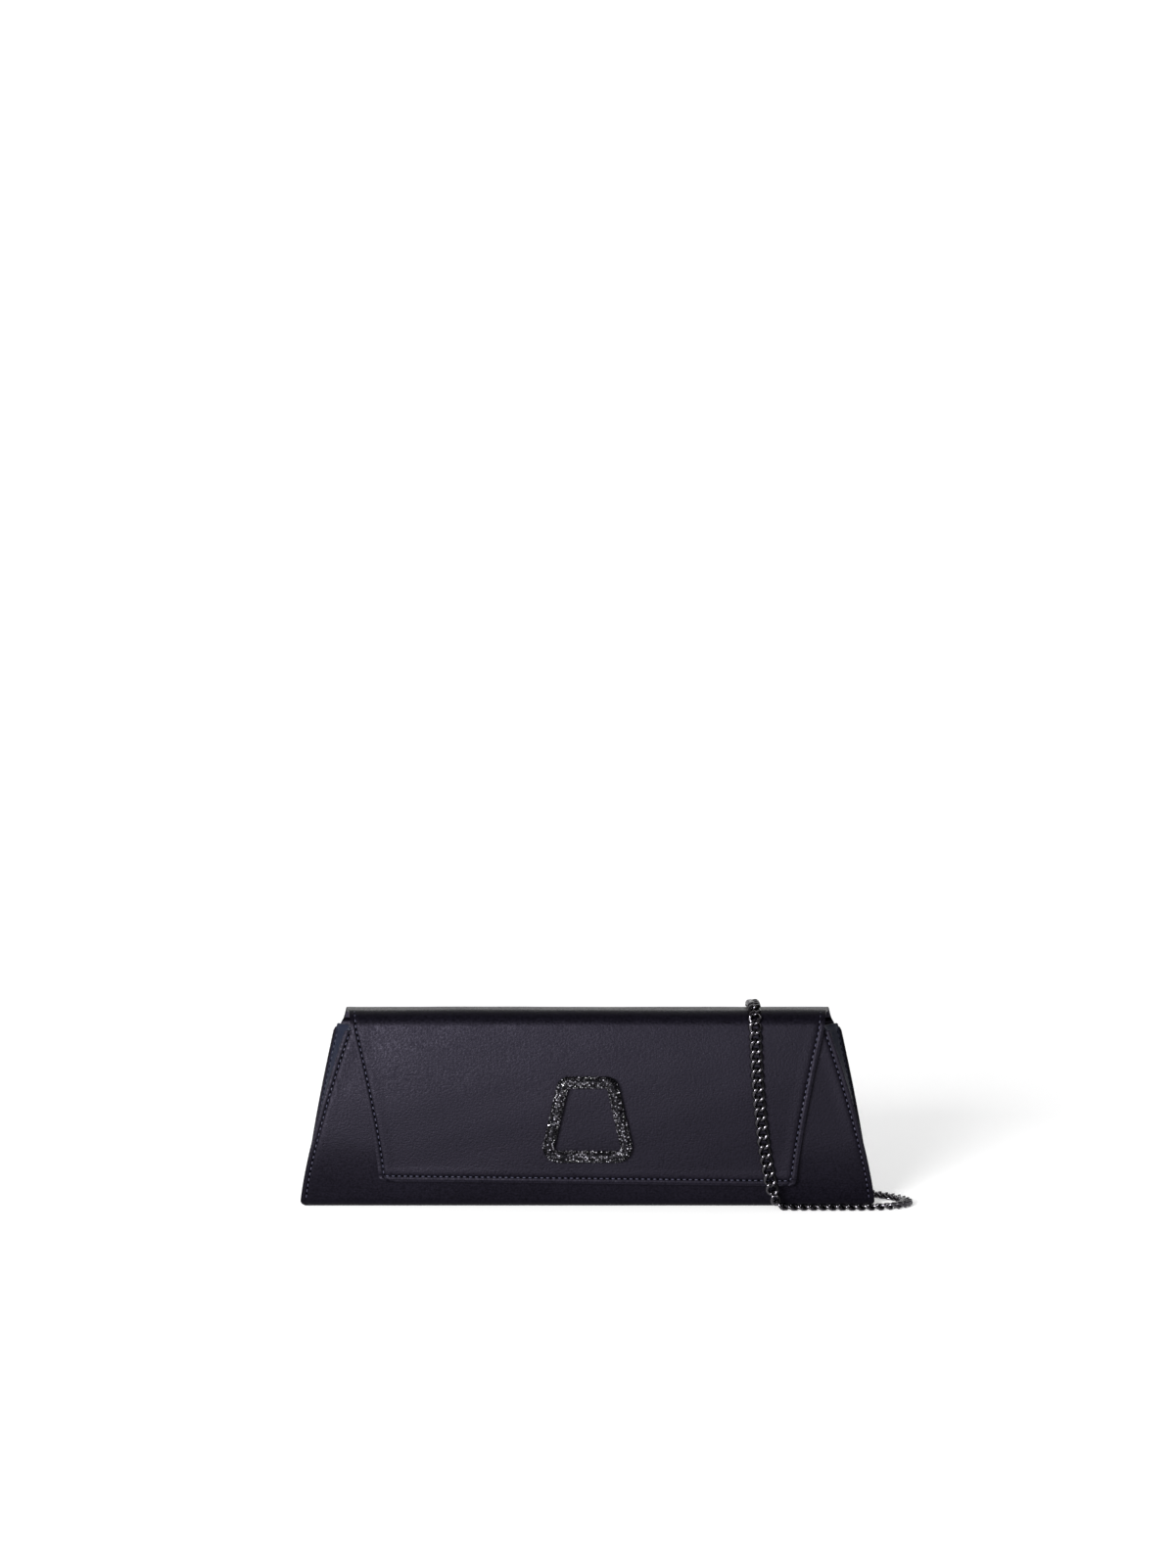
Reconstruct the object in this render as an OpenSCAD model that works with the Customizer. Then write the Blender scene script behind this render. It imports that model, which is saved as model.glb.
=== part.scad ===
// Structured evening bag: a satin clutch with stiffened panels, leather gussets, a front flap
// on a soft hinge, a stone-set frame ornament and a curb chain on two trigger clasps.
// +X runs to the bag's left-hand end as seen from behind it, -Y is the front and +Z is up.
// The origin is at the middle of the face the bag stands on.

/* [Body] */
// Width of the bag at its base
base_w = 292; // [260:1:320]
// Width of the front panel at its top edge
front_top_w = 243; // [230:1:250]
// Width of the back panel at its top edge
back_top_w = 262; // [254:1:270]
// Height of the front and back panels
panel_h = 90; // [84:1:94]
// Depth of the bag at its base
base_d = 26; // [24:1:30]
// Depth of the bag at its fullest height
belly_d = 36; // [34:1:40]
// Depth of the bag at its mouth
mouth_d = 30; // [28:1:32]
// Height of the fullest point of the front and back
belly_z = 34; // [28:1:40]

/* [Flap] */
// Width of the flap where it is sewn to the back
flap_root_w = 254; // [246:1:258]
// Width of the flap where it turns down over the front
flap_roll_w = 241; // [236:1:242]
// Width of the flap at its bottom edge
flap_end_w = 208; // [190:1:220]
// Height of the flap's bottom edge above the base
flap_end_z = 12.8; // [8:0.2:30]
// Radius of the flap's two bottom corners
flap_corner_r = 4; // [2:0.5:10]
// Height of the top of the flap above the base
flap_top_z = 100; // [98:0.5:102]

/* [Thicknesses] */
// Satin cover with its backing
satin_t = 1.0; // [0.8:0.1:1.2]
// Stiffening board in a panel
board_t = 1.4; // [1:0.1:1.6]
// Lining cloth
lining_t = 0.6; // [0.4:0.1:0.8]
// Leather of a gusset
gusset_t = 1.4; // [1:0.1:1.6]
// Air between the closed flap and the front panel
flap_gap = 0.4; // [0.3:0.1:1]

/* [Ornament] */
// Half width of the frame's centre line at its bottom
frame_low = 20.8; // [18:0.1:24]
// Half width of the frame's centre line at its top
frame_high = 12.1; // [10:0.1:18]
// Height of the frame's lower centre line
frame_z0 = 27; // [24:0.5:30]
// Height of the frame's upper centre line
frame_z1 = 64.6; // [50:0.2:68]
// Radius of the frame's round bar
frame_r = 2.9; // [2.4:0.1:3.2]

/* [Chain and clasps] */
// Width of the curb chain
chain_w = 7; // [6:0.5:8]
// Thickness of the curb chain
chain_t = 3.2; // [2.8:0.1:3.6]
// Distance of each ring tab from the middle of the bag
ring_x = 84; // [70:1:100]
// Height of the ring tabs' bars
ring_z = 58; // [50:1:60]

/* [Hidden] */

round_fn = 48;
big = 200;
steps = 15;
side_curve = 1.3;
mouth_z = 92;
skin = satin_t;
board_in = skin + board_t;
lining_in = board_in + lining_t;
floor_t = satin_t + board_t + lining_t;

// Flap section: hinge line, slope of the first turn and the face of the front drop
hinge_y = mouth_d / 2;
hinge_z = mouth_z;
root_r = 1.3;
flap_t = satin_t + board_t + lining_t;

// Magnets hidden behind the flap's lower edge
magnet_r = 7;
magnet_t = 0.7;
magnet_in = 0.3;
magnet_z = 24;

// Trigger clasp, drawn in its own plane: u outward, v from hook to eye
hook_r_out = 4.5;
hook_r_in = 2.9;
eye_v = 9.5;
pivot_u = 2.2;
pivot_v = 4.6;
clasp_t = 2.8;
slot_t = 1.3;

// Rings
bar_y = 20.4;
wire_r = 1.0;
ring_lean = 15;
ring_leg = 3.5;
ring_arc_r = 5.5;
apex = ring_leg + ring_arc_r;
apex_y = bar_y + apex * sin(ring_lean);
hook_lift = 1;
hook_z_right = ring_z + apex * cos(ring_lean) + hook_lift;
hook_z_left = ring_z - apex * cos(ring_lean) - hook_lift;
link_ring_r = 2.3;
link_wire_r = 0.6;

// Chain hank behind the bag: two round turns drawn together by a tie at their middle
hank_y = 50;
hank_run = 38.5;
hank_fold = 17.5;
hank_waist = 3.8;
layer_t = 3.3;
tie_w = 8;
tie_t = 0.8;

// The chain's route, clasp to hank and hank to clasp; each list starts where the last one ends
ROUTE_OVER_TOP = [
  [84, 22.7, 82.6], [84, 22.4, 87], [84, 21.2, 91.4], [84, 18.6, 95.6], [84, 14.4, 99.4],
  [84, 8, 101.9], [84, 0, 102.3], [84, -8, 102.2], [84, -12.6, 101.6], [84, -16.3, 99.5],
  [84.1, -19.2, 96.3], [84.2, -20.8, 92]
];
ROUTE_FRONT_DROP = [
  [84.2, -20.8, 92], [84.5, -21.4, 84], [85.2, -22.3, 70], [86.2, -23.2, 56], [87.6, -23.7, 43],
  [89.2, -23.8, 30], [91.4, -23.7, 18], [93.3, -23.9, 10], [94.8, -24.4, 5.6]
];
ROUTE_FLOOR_RUN = [
  [94.8, -24.4, 5.6], [96.8, -25.2, 3], [99.8, -26, 1.9], [105, -26.5, 1.7], [115, -26.8, 1.7],
  [128, -26.8, 1.7], [141, -26.6, 1.7], [151, -24.6, 1.7], [158.6, -19, 1.7], [162, -11, 1.7],
  [161.6, -2, 1.7], [158.4, 6.4, 1.7], [153, 14, 1.7], [145, 23, 1.7], [132, 33.5, 1.7],
  [116, 43.5, 1.7], [98, 53, 1.7], [80, 61, 1.7], [62, 66.2, 1.7], [50, 67.5, 1.7],
  [38.5, 67.5, 1.7]
];
ROUTE_RISER = [
  [-51.9, 61.2, 8.3], [-57.1, 55.1, 8], [-62.3, 49, 5.9], [-67.4, 42.9, 3.2], [-71.9, 37.5, 1.9],
  [-75.8, 32.9, 1.8], [-79.2, 29, 3], [-81.7, 26, 6.6], [-83.4, 23.9, 12.5], [-84, 23, 19],
  [-84, 22.7, 26], [-84, 22.7, 33.4]
];

// Half width of a panel outline whose top edge is top_w wide
function half_w(z, top_w) =
  base_w / 2 - (base_w - top_w) / 2 * pow(max(0, z) / mouth_z, side_curve);

// Half depth of the bag at height z, measured to the satin's outer face
function half_d(z) = z < belly_z
  ? (belly_d - (belly_d - base_d) * pow((belly_z - z) / belly_z, 2)) / 2
  : (belly_d - (belly_d - mouth_d) * pow((z - belly_z) / (mouth_z - belly_z), 2)) / 2;

function ladder(z0, z1) = [for (i = [0 : steps]) z0 + (z1 - z0) * i / steps];

// A wall's section: the band between two depths under the satin's outer face
function band(from, to) = concat(
  [for (z = ladder(0, mouth_z)) [half_d(z) - from, z]],
  [for (z = ladder(mouth_z, 0)) [half_d(z) - to, z]]
);

// A panel's outline, drawn inset from its edges
function outline(z0, z1, top_w, inset) = concat(
  [for (z = ladder(z0, z1)) [half_w(z, top_w) - inset, z]],
  [for (z = ladder(z1, z0)) [inset - half_w(z, top_w), z]]
);

function unit(v) = v / norm(v);

function clamp01(t) = min(1, max(0, t));

module along_x(w) {
  translate([-w / 2, 0, 0]) rotate([90, 0, 90]) linear_extrude(w) children();
}

module along_y(d) {
  translate([0, d / 2, 0]) rotate([90, 0, 0]) linear_extrude(d) children();
}

// A curved wall of the bag at the back (side = 1) or the front (side = -1)
module wall(side, z0, z1, top_w, from, to, inset) {
  intersection() {
    along_x(base_w + 10)
      polygon([for (p = band(from, to)) [side * p[0], p[1]]]);
    along_y(belly_d * 2)
      polygon(outline(z0, z1, top_w, inset));
  }
}

// A flat plate of the base between two heights
module base_plate(z0, z1, inset_x, inset_y) {
  translate([inset_x - base_w / 2, inset_y - base_d / 2, z0])
    cube([base_w - 2 * inset_x, base_d - 2 * inset_y, z1 - z0]);
}

module front_panel() {
  color("#2b2833") wall(-1, 0, panel_h, front_top_w, 0, skin, 0);
}

module back_panel() {
  color("#2b2833") wall(1, 0, panel_h - 0.4, back_top_w, 0, skin, 0);
}

module base_panel() {
  color("#1a1820") base_plate(0, satin_t, 0, skin);
}

module front_board() {
  color("#6f6a62")
    difference() {
      wall(-1, floor_t + 1, panel_h - 2, front_top_w, skin, board_in, 4);
      disc(-half_d(magnet_z) + skin, magnet_z, magnet_r + 0.2, 10, slope(magnet_z));
    }
}

module back_board() {
  color("#6f6a62") wall(1, floor_t + 1, panel_h - 2.4, back_top_w, skin, board_in, 5);
}

module base_board() {
  color("#6f6a62") base_plate(satin_t, satin_t + board_t, 4, skin + 0.6);
}

module front_lining() {
  color("#4a4652") wall(-1, floor_t + 1, panel_h - 1, front_top_w, board_in, lining_in, 4);
}

module back_lining() {
  color("#4a4652") wall(1, floor_t + 1, panel_h - 1.4, back_top_w, board_in, lining_in, 5);
}

module base_lining() {
  color("#4a4652") base_plate(satin_t + board_t, floor_t, 4, skin + 0.6);
}

pocket_w = 120;
pocket_z0 = 26;
pocket_z1 = 78;

module slip_pocket() {
  color("#565260")
    intersection() {
      wall(1, pocket_z0, pocket_z1, back_top_w, lining_in, lining_in + 0.8, 0);
      translate([-pocket_w / 2, 0, 0]) cube([pocket_w, big, big]);
    }
}

// Gussets: ruled strips between the side edges of the front and back panels
gusset_rows = 20;
gusset_edge = 1.6;

function gusset_ring(z) =
  let (yf = -half_d(z) + skin + 0.2, yb = half_d(z) - skin - 0.2,
       xf = half_w(z, front_top_w) - gusset_edge, xb = half_w(z, back_top_w) - gusset_edge)
  [[xf, yf, z], [xb, yb, z], [xb - gusset_t, yb, z], [xf - gusset_t, yf, z]];

module gusset() {
  zs = [for (i = [0 : gusset_rows])
    satin_t + (panel_h - 1.2 - satin_t) * i / gusset_rows];
  last = 4 * gusset_rows;
  polyhedron(
    points = [for (z = zs) each gusset_ring(z)],
    faces = concat(
      [[0, 1, 2, 3]],
      [for (i = [0 : gusset_rows - 1]) for (k = [0 : 3])
        let (a = 4 * i + k, b = 4 * i + (k + 1) % 4) each [[a, a + 4, b + 4], [a, b + 4, b]]],
      [[last + 3, last + 2, last + 1, last]]
    )
  );
}

module gusset_right() {
  color("#3b3e4c") gusset();
}

module gusset_left() {
  color("#3b3e4c") mirror([1, 0, 0]) gusset();
}

// A disc standing in a panel, leaning with it
function slope(z) = atan((belly_d - base_d) * (belly_z - z) / pow(belly_z, 2));

module disc(y, z, r, t, lean) {
  translate([0, y, z])
    rotate([90 + lean, 0, 0])
      cylinder(h = t, r = r, center = true, $fn = round_fn);
}

module front_magnet() {
  color("#8d9096")
    disc(-half_d(magnet_z) + skin + magnet_in + magnet_t / 2, magnet_z, magnet_r, magnet_t,
         slope(magnet_z));
}

module front_magnet_washer() {
  color("#a0a2a8")
    disc(-half_d(magnet_z) + skin + magnet_in + magnet_t + 0.15, magnet_z, magnet_r - 0.6,
         washer_t / 2, slope(magnet_z));
}

// The flap's section from the hinge over the top and down the front.
// depth is measured inward from the satin's outer face.
front_face = flap_gap + flap_t;
turn_r = 9;
crest_y = -6;
drop_z = flap_top_z - turn_r;

// Below the belly the flap hangs straight down
function flap_front(depth, z) = -(half_d(max(z, belly_z)) + front_face - depth);

function flap_line(depth) =
  let (r = turn_r - depth, top_y = flap_front(0, drop_z) + turn_r)
  concat(
    [for (i = [0 : 6]) let (a = 45 + 45 * i / 6)
      [hinge_y - 8.8 + (7.6 - depth) * cos(a), flap_top_z - 7.6 + (7.6 - depth) * sin(a)]],
    [for (i = [1 : 8]) let (a = 90 + 90 * i / 8)
      [top_y + r * cos(a), drop_z + r * sin(a)]],
    [for (z = ladder(drop_z, belly_z)) [flap_front(depth, z), z]],
    [[flap_front(depth, flap_end_z), flap_end_z]]
  );

function flap_band(from, to) = let (a = flap_line(from), b = flap_line(to), n = len(b))
  concat(a, [for (i = [1 : n]) b[n - i]]);

module flap_outline(inset) {
  intersection() {
    along_y(big)
      polygon([
        for (s = [1, -1]) each let (
          low = flap_end_w / 2 - inset, high = flap_roll_w / 2 - inset,
          c = flap_corner_r, z0 = flap_end_z + inset,
          p = [[low - c, z0], [low - 0.3 * c, z0 + 0.3 * c], [low + 0.2, z0 + c],
               [high, drop_z], [flap_root_w / 2 + 2, drop_z], [flap_root_w / 2 + 2, big]],
          q = s > 0 ? p : [for (i = [1 : len(p)]) p[len(p) - i]])
        [for (v = q) [s * v[0], v[1]]]
      ]);
    translate([0, 0, -1]) linear_extrude(big)
      polygon([
        [flap_root_w / 2 - inset, hinge_y + 4], [flap_roll_w / 2 - inset, -hinge_y],
        [flap_roll_w / 2 - inset, -big], [inset - flap_roll_w / 2, -big],
        [inset - flap_roll_w / 2, -hinge_y], [inset - flap_root_w / 2, hinge_y + 4]
      ]);
  }
}

module flap_layer(from, to, inset) {
  intersection() {
    along_x(flap_root_w + 10) polygon(flap_band(from, to));
    flap_outline(inset);
  }
}

// The satin cover with the rounded root that the flap turns on
module flap_panel() {
  color("#34313e")
    difference() {
      union() {
        flap_layer(0, satin_t, 0);
        rotate([0, 90, 0])
          translate([-hinge_z, hinge_y, 0])
            cylinder(h = flap_root_w - 1, r = root_r, center = true, $fn = round_fn);
        along_x(flap_root_w - 1)
          polygon([
            [hinge_y + 0.92, hinge_z + 0.92], [hinge_y - 0.92, hinge_z - 0.92],
            [hinge_y - 5.55, hinge_z + 3.65], [hinge_y - 3.43, hinge_z + 5.77]
          ]);
      }
      at_posts(-1, post_in + 1, post_r);
    }
}

module flap_board() {
  color("#6f6a62")
    difference() {
      intersection() {
        flap_layer(satin_t, satin_t + board_t, 4);
        translate([-big, -big, 0]) cube([2 * big, 2 * big, drop_z - 2]);
      }
      at_posts(-1, post_in + 1, washer_r + 0.2);
      disc(flap_front(satin_t, magnet_z), magnet_z, magnet_r + 0.3, 10, 0);
    }
}

module flap_lining() {
  color("#4a4652") flap_layer(satin_t + board_t, flap_t, 0.6);
}

module flap_magnet() {
  color("#8d9096")
    disc(flap_front(satin_t + magnet_in + magnet_t / 2, magnet_z), magnet_z, magnet_r, magnet_t, 0);
}

// Ornament: a round bar bent to a tapered frame, standing on the flap by four posts
frame_y = flap_front(0, belly_z) - frame_r - 0.1;
low_corner_r = 4.6;
high_corner_r = 3.6;
side_lean = atan((frame_low - frame_high) / (frame_z1 - frame_z0));
post_r = 0.8;
washer_r = 2;
washer_t = 0.4;
post_in = satin_t + board_t - 0.1;
post_zs = [frame_z0 + 9.8, frame_z1 - 9];

function frame_half(z) =
  frame_low - (frame_low - frame_high) * (z - frame_z0) / (frame_z1 - frame_z0);

// Centre of a corner arc that is tangent to the level bar and to the leaning side
function corner_mid(z, r, up) =
  let (zc = z - up * r) [frame_half(zc) - r / cos(side_lean), zc];

// The frame's centre line and outward direction, corner by corner, anticlockwise
arc_steps = 6;

function corner_arc(c, r, from, sweep) =
  [for (i = [0 : arc_steps]) let (a = from + sweep * i / arc_steps)
    [c + r * [cos(a), sin(a)], [cos(a), sin(a)]]];

function flip_x(v) = [-v[0], v[1]];

function frame_line() =
  let (lo = corner_mid(frame_z0, low_corner_r, -1), hi = corner_mid(frame_z1, high_corner_r, 1),
       right = concat(corner_arc(lo, low_corner_r, -90, 90 + side_lean),
                      corner_arc(hi, high_corner_r, side_lean, 90 - side_lean)),
       n = len(right))
  concat(right, [for (i = [1 : n]) [flip_x(right[n - i][0]), flip_x(right[n - i][1])]]);

module frame_tube() {
  line = frame_line();
  n = len(line);
  s = 24;
  polyhedron(
    points = [for (p = line) for (k = [0 : s - 1]) let (a = 360 * k / s)
      [p[0][0] + frame_r * cos(a) * p[1][0], frame_y + frame_r * sin(a),
       p[0][1] + frame_r * cos(a) * p[1][1]]],
    faces = [for (i = [0 : n - 1]) for (k = [0 : s - 1])
      let (a = s * i + k, b = s * i + (k + 1) % s,
           c = s * ((i + 1) % n) + k, d = s * ((i + 1) % n) + (k + 1) % s)
      each [[a, b, d], [a, d, c]]]
  );
}

// A cylinder along Y at each post, from one depth under the flap's face to another
module at_posts(from, to, r) {
  for (z = post_zs, s = [1, -1])
    translate([s * frame_half(z), flap_front(from, z), z])
      rotate([-90, 0, 0])
        cylinder(h = to - from, r = r, $fn = round_fn);
}

module ornament_frame() {
  color("#26262c")
    difference() {
      frame_tube();
      at_posts(-frame_r, 0.5, post_r);
    }
}

module ornament_posts() {
  color("#9a9ca2") at_posts(-frame_r, post_in, post_r);
}

module ornament_washers() {
  color("#9a9ca2")
    difference() {
      at_posts(post_in - washer_t, post_in, washer_r);
      at_posts(-frame_r, post_in + 1, post_r);
    }
}

// Ring tabs: a satin loop round the ring's bar, sewn through the back panel
tab_w = 7.6;
tab_r = 2.1;
tab_neck = 1.8;

module ring_tab() {
  panel_y = half_d(ring_z) + 0.02;
  difference() {
    union() {
      translate([-tab_w / 2, bar_y, ring_z])
        rotate([0, 90, 0])
          cylinder(h = tab_w, r = tab_r, $fn = round_fn);
      translate([-tab_w / 2, panel_y, ring_z - tab_neck / 2])
        cube([tab_w, bar_y - panel_y, tab_neck]);
    }
    translate([-tab_w, bar_y, ring_z])
      rotate([0, 90, 0])
        cylinder(h = 2 * tab_w, r = wire_r + 0.15, $fn = round_fn);
  }
}

module ring_tab_left() {
  color("#34313e") translate([-ring_x, 0, 0]) ring_tab();
}

module ring_tab_right() {
  color("#34313e") translate([ring_x, 0, 0]) ring_tab();
}

// A D-ring standing on its bar: bar along X, two legs and an arc
module d_ring() {
  translate([-ring_arc_r, 0, 0])
    rotate([0, 90, 0])
      cylinder(h = 2 * ring_arc_r, r = wire_r, $fn = round_fn);
  for (s = [1, -1]) {
    translate([s * ring_arc_r, 0, 0]) sphere(r = wire_r, $fn = round_fn);
    translate([s * ring_arc_r, 0, 0]) cylinder(h = ring_leg, r = wire_r, $fn = round_fn);
  }
  translate([0, 0, ring_leg])
    rotate([90, 0, 0])
      rotate_extrude(angle = 180, $fn = round_fn)
        translate([ring_arc_r, 0])
          circle(r = wire_r, $fn = 24);
}

module d_ring_right() {
  color("#3a3b42")
    translate([ring_x, bar_y, ring_z]) rotate([-ring_lean, 0, 0]) d_ring();
}

module d_ring_left() {
  color("#3a3b42")
    translate([-ring_x, bar_y, ring_z]) mirror([0, 0, 1]) rotate([-ring_lean, 0, 0]) d_ring();
}

// Trigger clasps: drawn flat, u outward and v towards the eye, then stood on edge
module clasp_plate(t) {
  translate([-t / 2, 0, 0]) rotate([90, 0, 90]) linear_extrude(t) children();
}

module wedge(a0, a1) {
  polygon([
    [0, 0], [9 * cos(a0), 9 * sin(a0)],
    [11 * cos((a0 + a1) / 2), 11 * sin((a0 + a1) / 2)], [9 * cos(a1), 9 * sin(a1)]
  ]);
}

module clasp_shape() {
  circle(r = hook_r_out, $fn = round_fn);
  polygon([[-3.6, 2.6], [3.6, 2.6], [2, 8.5], [-2, 8.5]]);
  translate([0, eye_v]) circle(r = 2.2, $fn = round_fn);
}

module clasp_body() {
  difference() {
    clasp_plate(clasp_t) clasp_shape();
    clasp_plate(clasp_t + 2) circle(r = hook_r_in, $fn = round_fn);
    clasp_plate(clasp_t + 2) translate([0, eye_v]) circle(r = 1.2, $fn = round_fn);
    clasp_plate(clasp_t + 2) translate([pivot_u, pivot_v]) circle(r = 0.45, $fn = round_fn);
    clasp_plate(clasp_t + 2) wedge(-14, 52);
    clasp_plate(slot_t)
      polygon([[0.9, 2], [4.8, 2], [4.8, 4.4], [3.6, 6.4], [0.9, 6.4]]);
  }
}

module clasp_gate() {
  difference() {
    union() {
      intersection() {
        clasp_plate(1.8)
          difference() {
            circle(r = hook_r_out - 0.1, $fn = round_fn);
            circle(r = hook_r_in + 0.15, $fn = round_fn);
          }
        clasp_plate(4) wedge(-4, 42);
      }
      clasp_plate(1)
        polygon([[2.45, 2], [3.3, 2.6], [3, 4.4], [1.4, 4.4], [1.7, 3.2]]);
      clasp_plate(1) translate([pivot_u, pivot_v]) circle(r = 0.85, $fn = round_fn);
    }
    clasp_plate(6) translate([pivot_u, pivot_v]) circle(r = 0.52, $fn = round_fn);
  }
}

module clasp_rivet() {
  clasp_plate(clasp_t) translate([pivot_u, pivot_v]) circle(r = 0.45, $fn = round_fn);
}

module clasp_spring() {
  clasp_plate(0.8) translate([1.4, 5.6]) square([1.7, 0.3]);
  clasp_plate(0.8) translate([1.4, 5.6]) square([0.3, 0.8]);
}

// A plain ring through the clasp's eye, in the plane of the chain
module jump_ring() {
  translate([0, 0, eye_v - 0.2 + link_ring_r])
    rotate([90, 0, 0])
      rotate_extrude($fn = round_fn)
        translate([link_ring_r, 0])
          circle(r = link_wire_r, $fn = 24);
}

module right_clasp() {
  translate([ring_x, apex_y, hook_z_right]) children();
}

module left_clasp() {
  translate([-ring_x, apex_y, hook_z_left]) mirror([0, 0, 1]) children();
}

module clasp_left_body() {
  color("#4a4b52") left_clasp() clasp_body();
}

module clasp_right_body() {
  color("#4a4b52") right_clasp() clasp_body();
}

module clasp_left_gate() {
  color("#5a5b62") left_clasp() clasp_gate();
}

module clasp_right_gate() {
  color("#5a5b62") right_clasp() clasp_gate();
}

module clasp_left_rivet() {
  color("#8d9096") left_clasp() clasp_rivet();
}

module clasp_right_rivet() {
  color("#8d9096") right_clasp() clasp_rivet();
}

module clasp_left_spring() {
  color("#8d9096") left_clasp() clasp_spring();
}

module clasp_right_spring() {
  color("#8d9096") right_clasp() clasp_spring();
}

module jump_ring_left() {
  color("#3a3b42") left_clasp() jump_ring();
}

module jump_ring_right() {
  color("#3a3b42") right_clasp() jump_ring();
}

// Chain: a flat tube along each stretch of the route. Its thin side faces away from the bag,
// and turns to face up where the chain comes down to the surface.
tube_sides = 8;

function facing(p) =
  let (lying = clamp01((14 - p[2]) / 9))
  unit([0, (1 - lying) * p[1], (1 - lying) * 2 * max(0, p[2] - 88) + lying * 20]);

function heading(route, i) =
  unit(route[min(i + 1, len(route) - 1)] - route[max(i - 1, 0)]);

function tube_ring(route, i) =
  let (t = heading(route, i), side = unit(cross(t, facing(route[i]))), up = cross(side, t))
  [for (k = [0 : tube_sides - 1]) let (a = 360 * (k + 0.5) / tube_sides)
    route[i] + chain_w / 2 * cos(a) * side + chain_t / 2 * sin(a) * up];

module tube(route) {
  n = len(route);
  s = tube_sides;
  polyhedron(
    points = [for (i = [0 : n - 1]) each tube_ring(route, i)],
    faces = concat(
      [[for (k = [0 : s - 1]) k]],
      [for (i = [0 : n - 2]) for (k = [0 : s - 1])
        let (a = s * i + k, b = s * i + (k + 1) % s) each [[a, a + s, b + s], [a, b + s, b]]],
      [[for (k = [s - 1 : -1 : 0]) s * (n - 1) + k]]
    )
  );
}

module chain_over_top() {
  color("#3a3b42") tube(ROUTE_OVER_TOP);
}

module chain_front_drop() {
  color("#3a3b42") tube(ROUTE_FRONT_DROP);
}

module chain_floor_run() {
  color("#3a3b42") tube(ROUTE_FLOOR_RUN);
}

module chain_riser() {
  color("#3a3b42") tube(ROUTE_RISER);
}

// Half the space between the hank's two runs, at x from its middle
function hank_half(x) = hank_waist
  + (hank_fold - hank_waist) * (1 - cos(180 * min(abs(x), hank_run) / hank_run)) / 2;

hank_xs = [for (i = [-10 : 10]) hank_run * i / 10];

module hank_outline() {
  for (s = [1, -1])
    translate([s * hank_run, 0]) circle(r = hank_fold + chain_w / 2, $fn = round_fn);
  polygon(concat(
    [for (x = hank_xs) [x, -hank_half(x) - chain_w / 2]],
    [for (x = hank_xs) [-x, hank_half(x) + chain_w / 2]]
  ));
}

// The last run, lying on the two turns at the far side
module top_run() {
  polygon(concat(
    [for (x = hank_xs) [x, hank_half(x) - chain_w / 2]],
    [for (x = hank_xs) [-x, hank_half(x) + chain_w / 2]]
  ));
}

module tie_block(length, t) {
  half = hank_waist + chain_w / 2 + tie_t;
  translate([-length / 2, t - half, t])
    cube([length, 2 * half - 2 * t, 3 * layer_t + 1.7 - 2 * t]);
}

module chain_hank() {
  color("#3a3b42")
    translate([0, hank_y, 0])
      difference() {
        union() {
          linear_extrude(2 * layer_t) hank_outline();
          linear_extrude(3 * layer_t) top_run();
        }
        difference() {
          tie_block(tie_w + 0.2, -1);
          tie_block(tie_w + 2, tie_t);
        }
      }
}

module chain_tie() {
  color("#4a4652")
    translate([0, hank_y, 0])
      difference() {
        tie_block(tie_w, 0);
        tie_block(tie_w + 2, tie_t);
      }
}

front_panel();
back_panel();
base_panel();
front_board();
back_board();
base_board();
gusset_left();
gusset_right();
front_lining();
back_lining();
base_lining();
slip_pocket();
front_magnet();
front_magnet_washer();
flap_panel();
flap_board();
flap_lining();
flap_magnet();
ornament_frame();
ornament_posts();
ornament_washers();
ring_tab_left();
ring_tab_right();
d_ring_left();
d_ring_right();
clasp_left_body();
clasp_right_body();
clasp_left_gate();
clasp_right_gate();
clasp_left_rivet();
clasp_right_rivet();
clasp_left_spring();
clasp_right_spring();
jump_ring_left();
jump_ring_right();
chain_over_top();
chain_front_drop();
chain_floor_run();
chain_hank();
chain_tie();
chain_riser();
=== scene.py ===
"""An evening bag: satin clutch with a front flap, stone-set frame ornament and curb chain."""
import math

import bpy
import numpy as np
from mathutils import Matrix, Vector


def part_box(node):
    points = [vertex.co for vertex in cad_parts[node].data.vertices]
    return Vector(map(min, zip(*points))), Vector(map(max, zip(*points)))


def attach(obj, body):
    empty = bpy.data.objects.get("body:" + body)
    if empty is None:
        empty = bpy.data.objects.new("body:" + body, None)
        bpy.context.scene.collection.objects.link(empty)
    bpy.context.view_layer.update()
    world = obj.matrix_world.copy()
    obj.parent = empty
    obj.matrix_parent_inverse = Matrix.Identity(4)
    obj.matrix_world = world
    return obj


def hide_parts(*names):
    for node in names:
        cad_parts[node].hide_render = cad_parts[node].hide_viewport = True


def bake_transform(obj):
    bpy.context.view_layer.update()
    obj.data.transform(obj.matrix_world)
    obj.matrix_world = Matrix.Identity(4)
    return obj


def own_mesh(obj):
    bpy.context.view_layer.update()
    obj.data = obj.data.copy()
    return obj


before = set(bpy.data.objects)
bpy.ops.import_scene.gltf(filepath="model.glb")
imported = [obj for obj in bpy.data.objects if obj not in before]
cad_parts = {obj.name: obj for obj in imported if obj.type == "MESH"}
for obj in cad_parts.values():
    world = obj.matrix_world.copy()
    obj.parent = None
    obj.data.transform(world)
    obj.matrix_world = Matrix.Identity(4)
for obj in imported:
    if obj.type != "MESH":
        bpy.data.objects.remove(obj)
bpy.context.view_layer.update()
MM = 0.001


# ---------------------------------------------------------------- the bag's own sizes, in mm

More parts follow.
